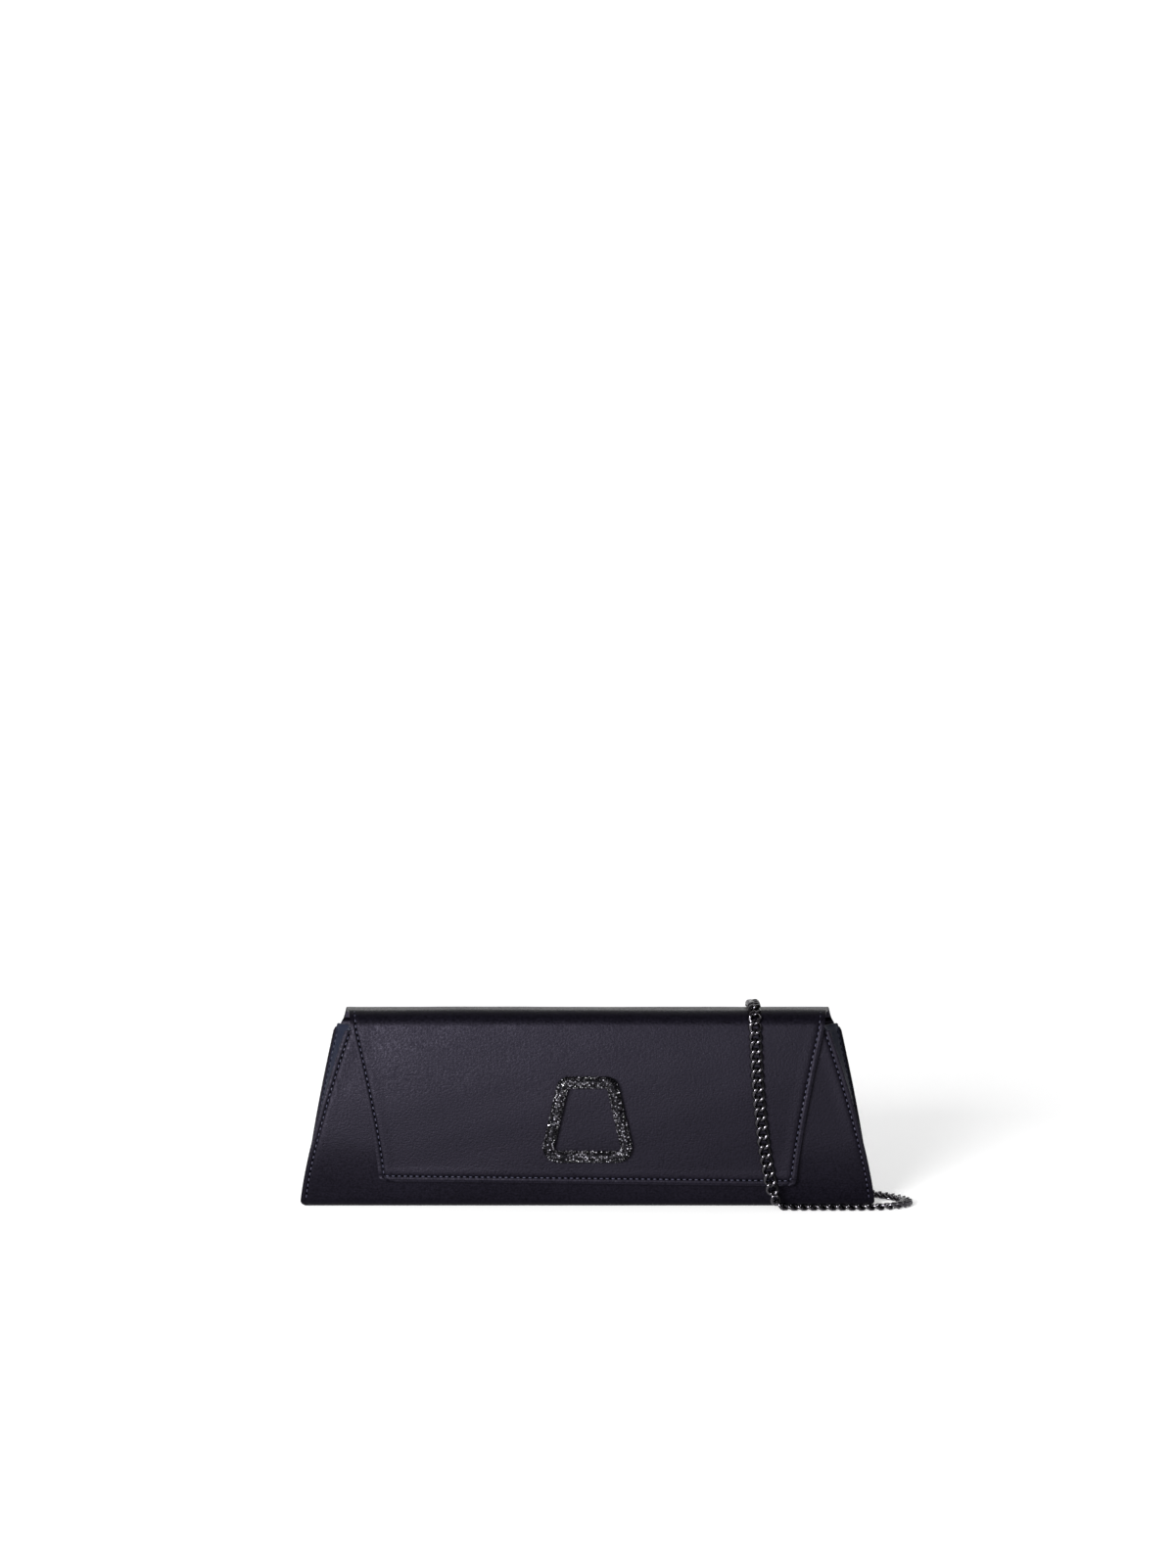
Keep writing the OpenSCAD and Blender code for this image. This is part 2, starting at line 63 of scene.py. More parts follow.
def low(node):
    return [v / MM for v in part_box(node)[0]]


def high(node):
    return [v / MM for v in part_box(node)[1]]


BASE_HALF = high("front_panel")[0]
FRONT_TOP_HALF = 121.5
BACK_TOP_HALF = 129.2
PANEL_TOP = high("front_panel")[2]
MOUTH_Z = 92
BELLY_Z = 34
BASE_DEPTH = 13
BELLY_DEPTH = 18
MOUTH_DEPTH = 15
SIDE_CURVE = 1.3
FLAP_TOP = high("flap_panel")[2]
FLAP_END = low("flap_panel")[2]
FLAP_ROOT_HALF = 126.2
FLAP_ROLL_HALF = 119.2
FLAP_END_HALF = 105.3
FLAP_FACE = 3.4
TURN_R = 9
STITCH_PITCH = 3.0
STITCH_IN = 2.7
LINK_PITCH = 4.83


def half_width(z, top_half):
    drop = (BASE_HALF - top_half) * (max(0, z) / MOUTH_Z) ** SIDE_CURVE
    corner = 2.2 * max(0, 1 - z / 2.8) ** 2
    return BASE_HALF - drop - corner


def half_depth(z):
    if z < BELLY_Z:
        return BELLY_DEPTH - (BELLY_DEPTH - BASE_DEPTH) * ((BELLY_Z - z) / BELLY_Z) ** 2
    rise = (z - BELLY_Z) / (MOUTH_Z - BELLY_Z)
    return BELLY_DEPTH - (BELLY_DEPTH - MOUTH_DEPTH) * rise**2


# ---------------------------------------------------------------- camera

def make_camera(distance=1.7, elevation=7, width=0.594, down=0.2766):
    aim = Vector((0, -0.015, 0.05))
    tilt = math.radians(elevation)
    data = bpy.data.cameras.new("camera")
    camera = bpy.data.objects.new("camera", data)
    bpy.context.collection.objects.link(camera)
    camera.location = aim + distance * Vector((0, -math.cos(tilt), math.sin(tilt)))
    camera.rotation_euler = (math.radians(90) - tilt, 0, 0)
    data.sensor_fit = "HORIZONTAL"
    data.sensor_width = 36
    data.lens = 36 * distance / width
    data.shift_y = down
    data.clip_start = 0.05
    bpy.context.scene.camera = camera


make_camera()


# ---------------------------------------------------------------- modelling helpers

def clear():
    bpy.ops.object.select_all(action="DESELECT")


def apply_all(piece):
    clear()
    piece.select_set(True)
    bpy.context.view_layer.objects.active = piece
    for modifier in list(piece.modifiers):
        bpy.ops.object.modifier_apply(modifier=modifier.name)
    return piece


def smooth(piece, angle=40):
    clear()
    piece.select_set(True)
    bpy.context.view_layer.objects.active = piece
    bpy.ops.object.shade_smooth_by_angle(angle=math.radians(angle))
    return piece


def outward(piece):
    clear()
    piece.select_set(True)
    bpy.context.view_layer.objects.active = piece
    bpy.ops.object.mode_set(mode="EDIT")
    bpy.ops.mesh.select_all(action="SELECT")
    bpy.ops.mesh.normals_make_consistent(inside=False)
    bpy.ops.object.mode_set(mode="OBJECT")
    return piece


def copies(model, places, name, tints=None):
    """One mesh holding a copy of the model at each place, a 4x4 matrix."""
    mesh = model.data
    count = len(mesh.vertices)
    shape = np.array([v.co for v in mesh.vertices])
    faces = [tuple(p.vertices) for p in mesh.polygons]
    points = np.concatenate([shape @ np.array(m)[:3, :3].T + np.array(m)[:3, 3] for m in places])
    all_faces = [tuple(i + k * count for i in f) for k in range(len(places)) for f in faces]
    made = bpy.data.meshes.new(name)
    made.from_pydata(points.tolist(), [], all_faces)
    flat = [p.use_smooth for p in mesh.polygons]
    made.polygons.foreach_set("use_smooth", flat * len(places))
    piece = bpy.data.objects.new(name, made)
    bpy.context.collection.objects.link(piece)
    if tints is not None:
        layer = made.attributes.new("tint", "FLOAT", "POINT")
        layer.data.foreach_set("value", np.repeat(tints, count).astype(np.float32))
    return piece


def frame_at(place, along, up):
    """A matrix whose X runs along, whose Z is up and whose origin is place."""
    along = Vector(along).normalized()
    side = Vector(up).cross(along).normalized()
    up = along.cross(side)
    turn = Matrix((along, side, up)).transposed().to_4x4()
    turn.translation = Vector(place)
    return turn


def finish_piece(piece, material, body):
    piece.data.materials.clear()
    piece.data.materials.append(material)
    if body:
        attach(piece, body)
    return piece


# ---------------------------------------------------------------- materials

class Wire:
    """A shader socket that does sums."""

    def __init__(self, tree, socket):
        self.tree, self.socket = tree, socket

    def sum(self, operation, other=None, flip=False):
        node = self.tree.nodes.new("ShaderNodeMath")
        node.operation = operation
        ends = [self, other] if not flip else [other, self]
        for slot, end in zip(node.inputs, ends):
            if isinstance(end, Wire):
                self.tree.links.new(end.socket, slot)
            elif end is not None:
                slot.default_value = end
        return Wire(self.tree, node.outputs[0])

    def __add__(self, other):
        return self.sum("ADD", other)

    def __radd__(self, other):
        return self.sum("ADD", other)

    def __sub__(self, other):
        return self.sum("SUBTRACT", other)

    def __rsub__(self, other):
        return self.sum("SUBTRACT", other, True)

    def __mul__(self, other):
        return self.sum("MULTIPLY", other)

    def __rmul__(self, other):
        return self.sum("MULTIPLY", other)

    def __truediv__(self, other):
        return self.sum("DIVIDE", other)

    def __pow__(self, other):
        return self.sum("POWER", other)

    def over(self, edge):
        return self.sum("GREATER_THAN", edge)


class Finish:
    """One material being wired up round a Principled shader."""

    def __init__(self, name, color, **sockets):
        self.material = bpy.data.materials.new(name)
        self.material.use_nodes = True
        self.tree = self.material.node_tree
        self.shader = self.tree.nodes["Principled BSDF"]
        self.shader.inputs["Base Color"].default_value = (*color, 1)
        for socket, value in sockets.items():
            self.shader.inputs[socket.replace("_", " ")].default_value = value

    def node(self, kind, out=0, settings=(), **inputs):
        node = self.tree.nodes.new("ShaderNode" + kind)
        for key, value in dict(settings).items():
            setattr(node, key, value)
        for key, value in inputs.items():
            slot = node.inputs[int(key[1:])] if key[0] == "i" and key[1:].isdigit() \
                else node.inputs[key.replace("_", " ")]
            if isinstance(value, Wire):
                self.tree.links.new(value.socket, slot)
            else:
                slot.default_value = value
        return Wire(self.tree, node.outputs[out])

    def place(self, scale=(1, 1, 1), turn=0, uv=False):
        source = self.node("TexCoord", out=2 if uv else 3)
        return self.node("Mapping", Vector=source, Scale=scale, Rotation=(0, 0, turn))

    def noise(self, where, size, detail=2.0):
        return self.node("TexNoise", Vector=where, Scale=size, Detail=detail)

    def blend(self, amount, first, second):
        return self.node("Mix", out=2, settings={"data_type": "RGBA"},
                         i0=amount, i6=first, i7=second)

    def feed(self, socket, wire):
        self.tree.links.new(wire.socket, self.shader.inputs[socket])

    def bump(self, height, strength, distance):
        normal = self.node("Bump", Height=height, Strength=strength, Distance=distance)
        self.feed("Normal", normal)


def satin_finish(name, color, rough=0.42):
    """Satin weave: fine long floats across the cloth, slubs, soft clouding and a fine grain."""
    f = Finish(name, color, Roughness=rough, Specular_IOR_Level=0.055)
    f.shader.inputs["Specular Tint"].default_value = (0.80, 0.74, 1.0, 1)
    floats = f.noise(f.place((500, 1600, 1), uv=True), 1.0, 2)
    slub = f.noise(f.place((120, 900, 1), uv=True), 1.0, 2)
    cloud = f.noise(f.place(), 26, 3)
    grain = f.noise(f.place(), 950, 3)
    deep = tuple(c * 0.35 for c in color) + (1,)
    pale = tuple(c * 1.9 for c in color) + (1,)
    mixed = floats * 0.3 + slub * 0.15 + cloud * 0.15 + grain * 0.4
    f.feed("Base Color", f.blend((mixed - 0.5) * 3.2 + 0.5, deep, pale))
    f.feed("Roughness", rough - 0.38 + slub * 0.08 + cloud * 0.08 + grain * 0.6)
    f.bump(floats * 0.4 + grain * 0.9, 0.6, 0.0002)
    return f.material


def leather_finish(name, color):
    f = Finish(name, color, Roughness=0.42, Specular_IOR_Level=0.07)
    pebble = f.node("TexVoronoi", Vector=f.place(), Scale=1150)
    crease = f.noise(f.place(), 260, 4)
    pale = tuple(min(1, c * 1.25) for c in color) + (1,)
    f.feed("Base Color", f.blend(crease, tuple(c * 0.8 for c in color) + (1,), pale))
    f.feed("Roughness", 0.34 + crease * 0.18)
    f.bump(pebble * 0.7 + crease * 0.6, 0.5, 0.0002)
    return f.material


def lining_finish():
    f = Finish("lining_twill", (0.022, 0.020, 0.029), Roughness=0.5, Specular_IOR_Level=0.2)
    twill = f.node("TexWave", Vector=f.place(turn=0.7), Scale=420, Distortion=0.6)
    cloud = f.noise(f.place(), 30)
    f.feed("Base Color", f.blend(twill * 0.5 + cloud * 0.4,
                                 (0.015, 0.013, 0.021, 1), (0.030, 0.027, 0.039, 1)))
    f.bump(twill, 0.3, 0.00015)
    return f.material


def metal_finish(name, color, rough, scratch=0.12):
    f = Finish(name, color, Metallic=1.0, Roughness=rough)
    fine = f.noise(f.place((1, 1, 6)), 900, 4)
    wide = f.noise(f.place(), 120, 2)
    f.feed("Roughness", rough - scratch / 2 + fine * scratch + wide * 0.06)
    f.feed("Base Color", f.blend(wide, tuple(c * 0.8 for c in color) + (1,),
                                 tuple(c * 1.2 for c in color) + (1,)))
    f.bump(fine, 0.08, 0.0001)
    return f.material


def stone_finish():
    """Cut stones, from jet to hematite by each stone's own tint."""
    f = Finish("cut_stones", (0.012, 0.012, 0.016), Roughness=0.06, Specular_IOR_Level=0.22)
    tint = f.node("Attribute", out=2, settings={"attribute_name": "tint"})
    f.feed("Base Color", f.blend(tint, (0.0006, 0.0006, 0.001, 1), (0.62, 0.60, 0.68, 1)))
    f.feed("Metallic", tint.over(0.45))
    return f.material


def thread_finish():
    f = Finish("thread", (0.012, 0.012, 0.024), Roughness=0.45, Specular_IOR_Level=0.25)
    ply = f.node("TexWave", Vector=f.place(turn=0.6), Scale=900)
    f.feed("Base Color", f.blend(ply, (0.012, 0.012, 0.023, 1), (0.028, 0.027, 0.048, 1)))
    f.bump(ply, 0.4, 0.0001)
    return f.material


def board_finish():
    f = Finish("grey_board", (0.20, 0.18, 0.16), Roughness=0.85)
    fibre = f.noise(f.place((1, 1, 3)), 700, 5)
    f.feed("Base Color", f.blend(fibre, (0.15, 0.135, 0.12, 1), (0.27, 0.245, 0.22, 1)))
    f.bump(fibre, 0.4, 0.0002)
    return f.material


# Painted shade: a near-black matte finish with no specular, standing for the shade inside each
# needle puncture rather than a colour of the cloth.
def hole_shade_finish():
    f = Finish("needle_hole_painted_shade", (0.0006, 0.0006, 0.0008), Roughness=0.9, Specular_IOR_Level=0.0)
    f.feed("Roughness", 0.8 + f.noise(f.place(), 500) * 0.2)
    return f.material


SATIN = satin_finish("satin", (0.0014, 0.0012, 0.0022))
BINDING = leather_finish("gusset_binding", (0.010, 0.011, 0.020))
LEATHER = leather_finish("gusset_leather", (0.006, 0.0075, 0.016))
LINING = lining_finish()
GUNMETAL = metal_finish("gunmetal", (0.058, 0.055, 0.062), 0.09)
STEEL = metal_finish("steel", (0.50, 0.51, 0.53), 0.30)
STONE = stone_finish()
BED = metal_finish("stone_bed", (0.004, 0.004, 0.005), 0.5)
THREAD = thread_finish()
HOLE_SHADE = hole_shade_finish()
BOARD = board_finish()


# ---------------------------------------------------------------- chain

ROUTE = {
    "chain_over_top": [
        (84, 22.7, 82.6), (84, 22.4, 87), (84, 21.2, 91.4), (84, 18.6, 95.6), (84, 14.4, 99.4),
        (84, 8, 101.9), (84, 0, 102.3), (84, -8, 102.2), (84, -12.6, 101.6), (84, -16.3, 99.5),
        (84.1, -19.2, 96.3), (84.2, -20.8, 92)],
    "chain_front_drop": [
        (84.2, -20.8, 92), (84.5, -21.4, 84), (85.2, -22.3, 70), (86.2, -23.2, 56),
        (87.6, -23.7, 43), (89.2, -23.8, 30), (91.4, -23.7, 18), (93.3, -23.9, 10),
        (94.8, -24.4, 5.6)],
    "chain_floor_run": [
        (94.8, -24.4, 5.6), (96.8, -25.2, 3), (99.8, -26, 1.9), (105, -26.5, 1.7),
        (115, -26.8, 1.7), (128, -26.8, 1.7), (141, -26.6, 1.7), (151, -24.6, 1.7),
        (158.6, -19, 1.7), (162, -11, 1.7), (161.6, -2, 1.7), (158.4, 6.4, 1.7),
        (153, 14, 1.7), (145, 23, 1.7), (132, 33.5, 1.7), (116, 43.5, 1.7), (98, 53, 1.7),
        (80, 61, 1.7), (62, 66.2, 1.7), (50, 67.5, 1.7), (38.5, 67.5, 1.7)],
    "chain_riser": [
        (-51.9, 61.2, 8.3), (-57.1, 55.1, 8), (-62.3, 49, 5.9), (-67.4, 42.9, 3.2),
        (-71.9, 37.5, 1.9), (-75.8, 32.9, 1.8), (-79.2, 29, 3), (-81.7, 26, 6.6),
        (-83.4, 23.9, 12.5), (-84, 23, 19), (-84, 22.7, 26), (-84, 22.7, 33.4)],
}
HANK_Y, HANK_RUN, HANK_FOLD, HANK_WAIST, LAYER = 50, 38.5, 17.5, 3.8, 3.3


def smooth_step(t):
    t = min(1, max(0, t))
    return t * t * (3 - 2 * t)


def hank_route(steps=14):
    """Two turns and a last run laid on each other, drawn together at the middle by the tie.
    Each turn climbs onto the one below round its right-hand fold."""
    points = []

    def add(x, y, layer):
        lift = 0.85 * (1 - smooth_step((abs(x) - 6) / 16))
        points.append((x, HANK_Y + y, 1.7 + LAYER * layer + lift))

    def run(way, layer):
        for i in range(steps):
            x = way * HANK_RUN * (2 * i / steps - 1)
            swell = (1 - math.cos(math.pi * x / HANK_RUN)) / 2
            wide = HANK_WAIST + (HANK_FOLD - HANK_WAIST) * swell
            add(x, -way * wide, layer)

    def fold(side, layer, climb, upto=180):
        count = round(steps * upto / 180)
        for i in range(count):
            turned = i * 180 / steps
            a = math.radians(turned + (90 if side < 0 else -90))
            rise = smooth_step((turned - 40) / 85) if climb else 0
            add(side * HANK_RUN + HANK_FOLD * math.cos(a), HANK_FOLD * math.sin(a), layer + rise)

    for turn in (0, 1):
        run(-1, turn)
        fold(-1, turn, False)
        run(1, turn)
        fold(1, turn, True)
    run(-1, 2)
    fold(-1, 2, False, 51.43)
    return points + [ROUTE["chain_riser"][0]]


def curve_through(points, step=0.8):
    """Points every step mm along a smooth curve through the given ones."""
    p = np.array(points, float)
    ends = np.vstack([2 * p[0] - p[1], p, 2 * p[-1] - p[-2]])
    fine = []
    for i in range(len(p) - 1):
        a, b, c, d = ends[i:i + 4]
        knots = np.cumsum([0] + [max(1e-6, np.linalg.norm(q - r)) ** 0.5
                                 for q, r in ((b, a), (c, b), (d, c))])
        for t in np.linspace(knots[1], knots[2], 14, endpoint=False):
            ab = a + (b - a) * (t - knots[0]) / (knots[1] - knots[0])
            bc = b + (c - b) * (t - knots[1]) / (knots[2] - knots[1])
            cd = c + (d - c) * (t - knots[2]) / (knots[3] - knots[2])
            abc = ab + (bc - ab) * (t - knots[0]) / (knots[2] - knots[0])
            bcd = bc + (cd - bc) * (t - knots[1]) / (knots[3] - knots[1])
            fine.append(abc + (bcd - abc) * (t - knots[1]) / (knots[2] - knots[1]))
    fine = np.array(fine + [p[-1]])
    along = np.concatenate([[0], np.cumsum(np.linalg.norm(np.diff(fine, axis=0), axis=1))])
    at = np.linspace(0, along[-1], max(2, int(along[-1] / step) + 1))
    return np.stack([np.interp(at, along, fine[:, k]) for k in range(3)], 1)


def length_of(points):
    return float(np.linalg.norm(np.diff(points, axis=0), axis=1).sum())


def facing(p):
    """Which way the chain's thin side faces: away from the bag, or up where it lies."""
    lying = min(1, max(0, (14 - p[2]) / 9))
    return Vector((0, (1 - lying) * p[1], (1 - lying) * 2 * max(0, p[2] - 88) + lying * 20))


def make_link():
    """One curb link: an oval ring of round wire, twisted along its length and ground flat."""
    clear()
    bpy.ops.mesh.primitive_torus_add(major_segments=20, minor_segments=6, major_radius=1,
                                     minor_radius=0.25, location=(0, 0, 0))
    link = bpy.context.object
    link.name = "link_model"
    wire, long_r, wide_r, flat = 1.0, 3.3, 2.5, 1.55
    for v in link.data.vertices:
        x, y, z = v.co
        out = math.hypot(x, y)
        c, s = x / out, y / out
        off = (out - 1) / 0.25 * wire
        x, y, z = (long_r * c + off * c), (wide_r * s + off * s), z / 0.25 * wire
        turn = math.radians(50) * x / long_r
        y, z = (y * math.cos(turn) - z * math.sin(turn), y * math.sin(turn) + z * math.cos(turn))
        v.co = Vector((x, y, max(-flat, min(flat, z)))) * MM
    smooth(link, 50)
    return link


def make_chain(body_of_stretch):
    link = make_link()
    stretches = {}
    routes = dict(ROUTE)
    routes["chain_hank"] = hank_route()
    order = ["chain_over_top", "chain_front_drop", "chain_floor_run", "chain_hank", "chain_riser"]
    offset = LINK_PITCH / 2
    for name in order:
        line = curve_through(routes[name])
        along = np.concatenate([[0], np.cumsum(np.linalg.norm(np.diff(line, axis=0), axis=1))])
        places = []
        while offset < along[-1]:
            ends = [[np.interp(offset + d, along, line[:, k]) for k in range(3)]
                    for d in (-1.2, 0, 1.2)]
            ahead = Vector(ends[2]) - Vector(ends[0])
            middle = Vector(ends[1])
            places.append(frame_at(middle * MM, ahead, facing(middle)))
            offset += LINK_PITCH
        offset -= along[-1]
        piece = copies(link, places, name + "_links")
        finish_piece(piece, GUNMETAL, body_of_stretch.get(name))
        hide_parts(name)
        stretches[name] = (piece, line)
    bpy.data.objects.remove(link)
    return stretches


def declare_chain():
    stretches = make_chain({"chain_floor_run": "bag_body", "chain_front_drop": "bag_body",
                            "chain_hank": "bag_body", "chain_riser": "bag_body"})
    total = 0
    for name, (piece, line) in stretches.items():
        total += length_of(line)
        tuple(line[0] * MM)
        length_of(line) * MM
        (line[::3] * MM).tolist() + [(line[-1] * MM).tolist()]
    over = stretches["chain_over_top"][0]
    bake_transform(over)
    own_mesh(stretches["chain_front_drop"][0])
    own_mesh(stretches["chain_floor_run"][0])
    print("chain length mm", round(total, 1))


declare_chain()


# ---------------------------------------------------------------- sheets

EDGE_STEPS = [0, 0.35, 0.9, 1.5, 2.0, 2.4, 2.7, 3.0, 3.4, 4.2, 5.5, 7.5]


def arc_points(mid, radius, start, end, count):
    return [(mid[0] + radius * math.cos(math.radians(start + (end - start) * i / count)),
             mid[1] + radius * math.sin(math.radians(start + (end - start) * i / count)))
            for i in range(count + 1)]


def resample(points, marks):
    """Points and unit normals of a line in the YZ plane at the given lengths along it."""
    p = np.array(points, float)
    along = np.concatenate([[0], np.cumsum(np.linalg.norm(np.diff(p, axis=0), axis=1))])
    place = np.stack([np.interp(marks, along, p[:, k]) for k in range(2)], 1)
    ahead = np.stack([np.interp(np.array(marks) + 0.6, along, p[:, k]) for k in range(2)], 1)
    behind = np.stack([np.interp(np.array(marks) - 0.6, along, p[:, k]) for k in range(2)], 1)
    run = ahead - behind
    run /= np.linalg.norm(run, axis=1)[:, None]
    return place, np.stack([run[:, 1], -run[:, 0]], 1)


def line_length(points):
    return float(np.linalg.norm(np.diff(np.array(points), axis=0), axis=1).sum())


def closed_sheet(name, top, under, uv):
    """A closed mesh from two grids of points, its outer and inner faces, joined at the rim."""
    rows, cols = top.shape[:2]
    points = np.concatenate([top.reshape(-1, 3), under.reshape(-1, 3)]) * MM
    under_at = rows * cols
    faces = []
    for r in range(rows - 1):
        for c in range(cols - 1):
            a = r * cols + c
            quad = (a, a + 1, a + cols + 1, a + cols)
            faces.append(quad)
            faces.append(tuple(under_at + i for i in reversed(quad)))
    ring = [c for c in range(cols)] + [r * cols + cols - 1 for r in range(1, rows)] \
        + [(rows - 1) * cols + c for c in range(cols - 2, -1, -1)] \
        + [r * cols for r in range(rows - 2, 0, -1)]
    for a, b in zip(ring, ring[1:] + ring[:1]):
        faces.append((b, a, under_at + a, under_at + b))
    mesh = bpy.data.meshes.new(name)
    mesh.from_pydata(points.tolist(), [], faces)
    flat = np.concatenate([uv.reshape(-1, 2)] * 2) * MM
    layer = mesh.uv_layers.new(name="cloth")
    corners = np.zeros(len(mesh.loops), int)
    mesh.loops.foreach_get("vertex_index", corners)
    layer.data.foreach_set("uv", flat[corners].astype(np.float32).ravel())
    piece = bpy.data.objects.new(name, mesh)
    bpy.context.collection.objects.link(piece)
    return outward(piece)


def soften(piece, width=0.4, segments=3, angle=50):
    """Rounds a sheet's edges and shades it smooth."""
    bevel = piece.modifiers.new("edges", "BEVEL")
    bevel.width = width * MM
    bevel.segments = segments
    bevel.limit_method = "ANGLE"
    bevel.angle_limit = math.radians(angle)
    apply_all(piece)
    return smooth(piece, 60)


def across(half, middle_steps):
    """Places across a sheet, from one side edge to the other, close together at the edges."""
    inner = np.linspace(-(half - 7.5), half - 7.5, middle_steps)[1:-1]
    return np.concatenate([[-half + d for d in EDGE_STEPS], inner,
                           [half - d for d in reversed(EDGE_STEPS)]])


def groove(distance, depth=0.28):
    """How far a stitch row and the turned edge outside it shape the cloth, by distance in."""
    row = -depth * np.exp(-((distance - STITCH_IN) / 0.5) ** 2)
    swell = 0.12 * np.exp(-((distance - 1.3) / 0.7) ** 2)
    puff = 0.14 * np.exp(-((distance - 5.0) / 1.5) ** 2)
    return row + swell + puff


def ripple(x, s, amount=0.16):
    """The slow unevenness of cloth glued and sewn over a board."""
    return amount * (np.sin(x / 31 + s / 47 + 0.7) * np.sin(s / 23 + 1.9)
                     + 0.55 * np.sin(x / 17 - s / 29 + 2.3) * np.sin(s / 13 + x / 71)
                     + 0.3 * np.sin(x / 7.3 + s / 9.1) * np.sin(s / 6.1 - x / 19))


# ---------------------------------------------------------------- back and flap cover

def cover_section():
    """The cover's outer line in YZ: bottom curl, up the back, over the top and down the front."""
    line = [(9.8, 0.05), (10.6, 0.06), (11.6, 0.45), (12.6, 1.35)]
    line += [(half_depth(z) - 0.08 * max(0, 4 - z), z) for z in np.linspace(2.4, 90, 40)]
    line += [(15.75, 91.1), (15.8, 91.9), (15.5, 92.8), (14.8, 93.8), (13.4, 95.7)]
    line += arc_points((6.2, FLAP_TOP - 7.6), 7.6, 42, 90, 8)
    line += [(0, FLAP_TOP)]
    roll_y = -(half_depth(FLAP_TOP - TURN_R) + FLAP_FACE) + TURN_R
    line += arc_points((roll_y, FLAP_TOP - TURN_R), TURN_R, 90, 180, 12)
    line += [(-(half_depth(max(z, BELLY_Z)) + FLAP_FACE), z)
             for z in np.linspace(90, FLAP_END, FRONT_POINTS)]
    return line


FRONT_POINTS, POINTS_TO_HINGE = 40, 46
SECTION = cover_section()
COVER_LENGTH = line_length(SECTION)
HINGE_AT = line_length(SECTION[:POINTS_TO_HINGE])
ROLL_AT = line_length(SECTION[:-FRONT_POINTS])
FLAP_CORNER = 3.2


def cover_half(s):
    """The cover's half width at length s along its section."""
    to_end = COVER_LENGTH - s
    if s <= HINGE_AT:
        place, _ = resample(SECTION, [s])
        z = float(place[0][1])
        up = smooth_step((z - 88.2) / 2.6)
        return half_width(z, BACK_TOP_HALF) * (1 - up) + FLAP_ROOT_HALF * up
    if s <= ROLL_AT:
        share = ((s - HINGE_AT) / (ROLL_AT - HINGE_AT)) ** 0.6
        return FLAP_ROOT_HALF * (1 - share) + FLAP_ROLL_HALF * share
    share = (s - ROLL_AT) / (COVER_LENGTH - ROLL_AT)
    wide = FLAP_ROLL_HALF + (FLAP_END_HALF - FLAP_ROLL_HALF) * (1 - (1 - share) ** 1.3)
    corner = max(0, FLAP_CORNER - to_end)
    round_off = FLAP_CORNER - math.sqrt(max(0, FLAP_CORNER**2 - corner**2))
    return wide - round_off


def cover_rows():
    end = [COVER_LENGTH - d for d in reversed(EDGE_STEPS)]
    corner = [COVER_LENGTH - d for d in (3.1, 2.6, 1.2, 0.6, 0.15, 0.05)]
    body = np.arange(0, end[0], 1.5).tolist()
    return np.array(sorted(body + end + corner))


def flap_dip(x, z, front):
    """The cloth is pressed in a little under the ornament."""
    under = np.exp(-((x / 27) ** 2 + ((z - 42) / 26) ** 2))
    return np.where(front, -0.30 * under, 0)


def hang(x, s):
    """The flap hangs a little lower at its right end."""
    return -1.3 * x / FLAP_END_HALF * smooth_step((s - ROLL_AT) / (COVER_LENGTH - ROLL_AT))


def layer_depth(s, to_edge, at_edge, inside):
    """Depth of the flap's layers: pinched by the seam at the edge, parted by the board inside."""
    on_flap = smooth_step((s - HINGE_AT - 4) / 10)
    return 1 + (at_edge - 1 + (inside - at_edge) * smooth_step((to_edge - 1.2) / 1.4)) * on_flap


def cover_surface(s_marks, half_marks, depth, detail=True):
    place, normal = resample(SECTION, s_marks)
    grid = np.zeros((len(s_marks), len(half_marks), 3))
    half = [cover_half(s) for s in s_marks]
    widest = max(abs(half_marks))
    for i, s in enumerate(s_marks):
        x = np.sign(half_marks) * (half[i] - (widest - np.abs(half_marks)))
        inner = np.abs(half_marks) < widest - 7.5
        x = np.where(inner, half_marks * (half[i] - 7.5) / (widest - 7.5), x)
        to_side = half[i] - np.abs(x)
        to_end = COVER_LENGTH - s
        near = np.minimum(to_side, to_end)
        sink = np.array([-depth(s, d) for d in near])
        if detail:
            on_flap = smooth_step((s - ROLL_AT + 10) / 10)
            sink += groove(to_side) * max(on_flap, float(s < HINGE_AT - 8))
            sink += groove(np.full_like(x, to_end))
            fade = np.minimum(1, to_side / 8) * min(1, to_end / 8)
            sink += ripple(x, s) * fade
            sink += flap_dip(x, place[i][1], s > ROLL_AT)
        grid[i, :, 0] = x
        grid[i, :, 1] = place[i][0] + normal[i][0] * sink
        grid[i, :, 2] = place[i][1] + normal[i][1] * sink + hang(x, s)
    return grid


def make_cover():
    rows = cover_rows()
    cols = across(FLAP_END_HALF, 76)
    top = cover_surface(rows, cols, lambda s, d: 0.0)
    under = cover_surface(rows, cols, lambda s, d: layer_depth(s, d, 1.5, 2.35), False)
    uv = np.stack([top[:, :, 0], np.repeat(rows[:, None], len(cols), 1)], 2)
    cover = soften(closed_sheet("back_and_flap_cover", top, under, uv))
    finish_piece(cover, SATIN, None)
    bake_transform(cover)
    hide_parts("back_panel", "flap_panel")


